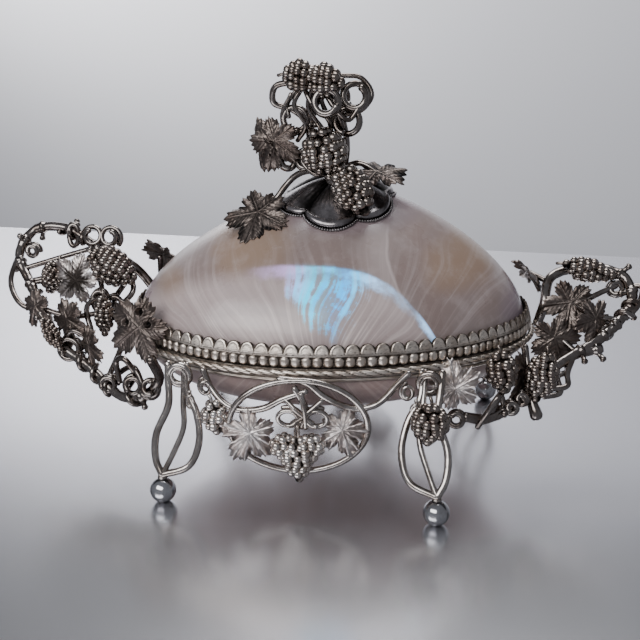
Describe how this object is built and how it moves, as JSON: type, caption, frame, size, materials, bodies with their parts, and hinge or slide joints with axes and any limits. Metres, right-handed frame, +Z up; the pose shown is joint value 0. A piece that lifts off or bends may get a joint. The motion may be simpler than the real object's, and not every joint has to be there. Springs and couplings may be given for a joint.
{
  "type": "shell box",
  "caption": "Oval lidded box of mother-of-pearl shell in oxidised silver mounts: peaked lid with a vine finial, bowl on wire legs with ball feet, vine and grape swags and end handles.",
  "frame": {"origin": "bottom centre of the box round the whole object, on the ground", "axes": "+Z up, +X along the shell towards the right handle, -Y towards the viewer's side with the swag"},
  "size_m": [0.2354, 0.125, 0.1367],
  "materials": {
    "mother_of_pearl": "polished nacre, iridescent",
    "oxidised_silver": "oxidised silver with dark recesses",
    "frosted_silver": "frosted bright silver",
    "polished_silver": "polished silver"
  },
  "bodies": {
    "root": {"lid_shell": "mother_of_pearl", "bowl_shell": "mother_of_pearl", "lid_rim": "oxidised_silver", "bowl_rim": "oxidised_silver", "rope_edge": "oxidised_silver", "foot_front_left": "polished_silver", "leg_front_left": "oxidised_silver", "foot_front_right": "polished_silver", "leg_front_right": "oxidised_silver", "foot_back_left": "polished_silver", "leg_back_left": "oxidised_silver", "foot_back_right": "polished_silver", "leg_back_right": "oxidised_silver", "swag_front_wire": "oxidised_silver", "swag_front_grapes": "oxidised_silver", "swag_front_leaf_left": "frosted_silver", "swag_front_leaf_right": "frosted_silver", "swag_front_small_grapes": "oxidised_silver", "swag_back_wire": "oxidised_silver", "swag_back_grapes": "oxidised_silver", "swag_back_leaf_left": "frosted_silver", "swag_back_leaf_right": "frosted_silver", "swag_back_small_grapes": "oxidised_silver", "handle_left_branch": "oxidised_silver", "handle_right_branch": "oxidised_silver", "handle_left_leaf_rim": "frosted_silver", "handle_left_leaf_top": "frosted_silver", "handle_left_leaf_outer": "frosted_silver", "handle_left_leaf_middle": "frosted_silver", "handle_left_leaf_low": "frosted_silver", "handle_left_leaf_back": "frosted_silver", "handle_right_leaf_top": "frosted_silver", "handle_right_leaf_low": "frosted_silver", "handle_right_leaf_outer": "frosted_silver", "handle_right_leaf_end": "frosted_silver", "handle_right_leaf_back": "frosted_silver", "leg_leaf_front_right": "frosted_silver", "handle_left_grapes_top": "oxidised_silver", "handle_left_grapes_outer": "oxidised_silver", "handle_left_grapes_middle": "oxidised_silver", "handle_left_grapes_low": "oxidised_silver", "handle_right_grapes_top": "oxidised_silver", "handle_right_grapes_low": "oxidised_silver", "handle_right_grapes_rim": "oxidised_silver", "leg_grapes_front_right": "oxidised_silver", "finial_cup": "polished_silver", "finial_vine": "oxidised_silver", "finial_leaf_low": "oxidised_silver", "finial_leaf_middle": "oxidised_silver", "finial_leaf_back": "oxidised_silver", "finial_leaf_right": "oxidised_silver", "finial_grapes_top": "oxidised_silver", "finial_grapes_middle": "oxidised_silver", "finial_grapes_low": "oxidised_silver"}
  },
  "joints": []
}
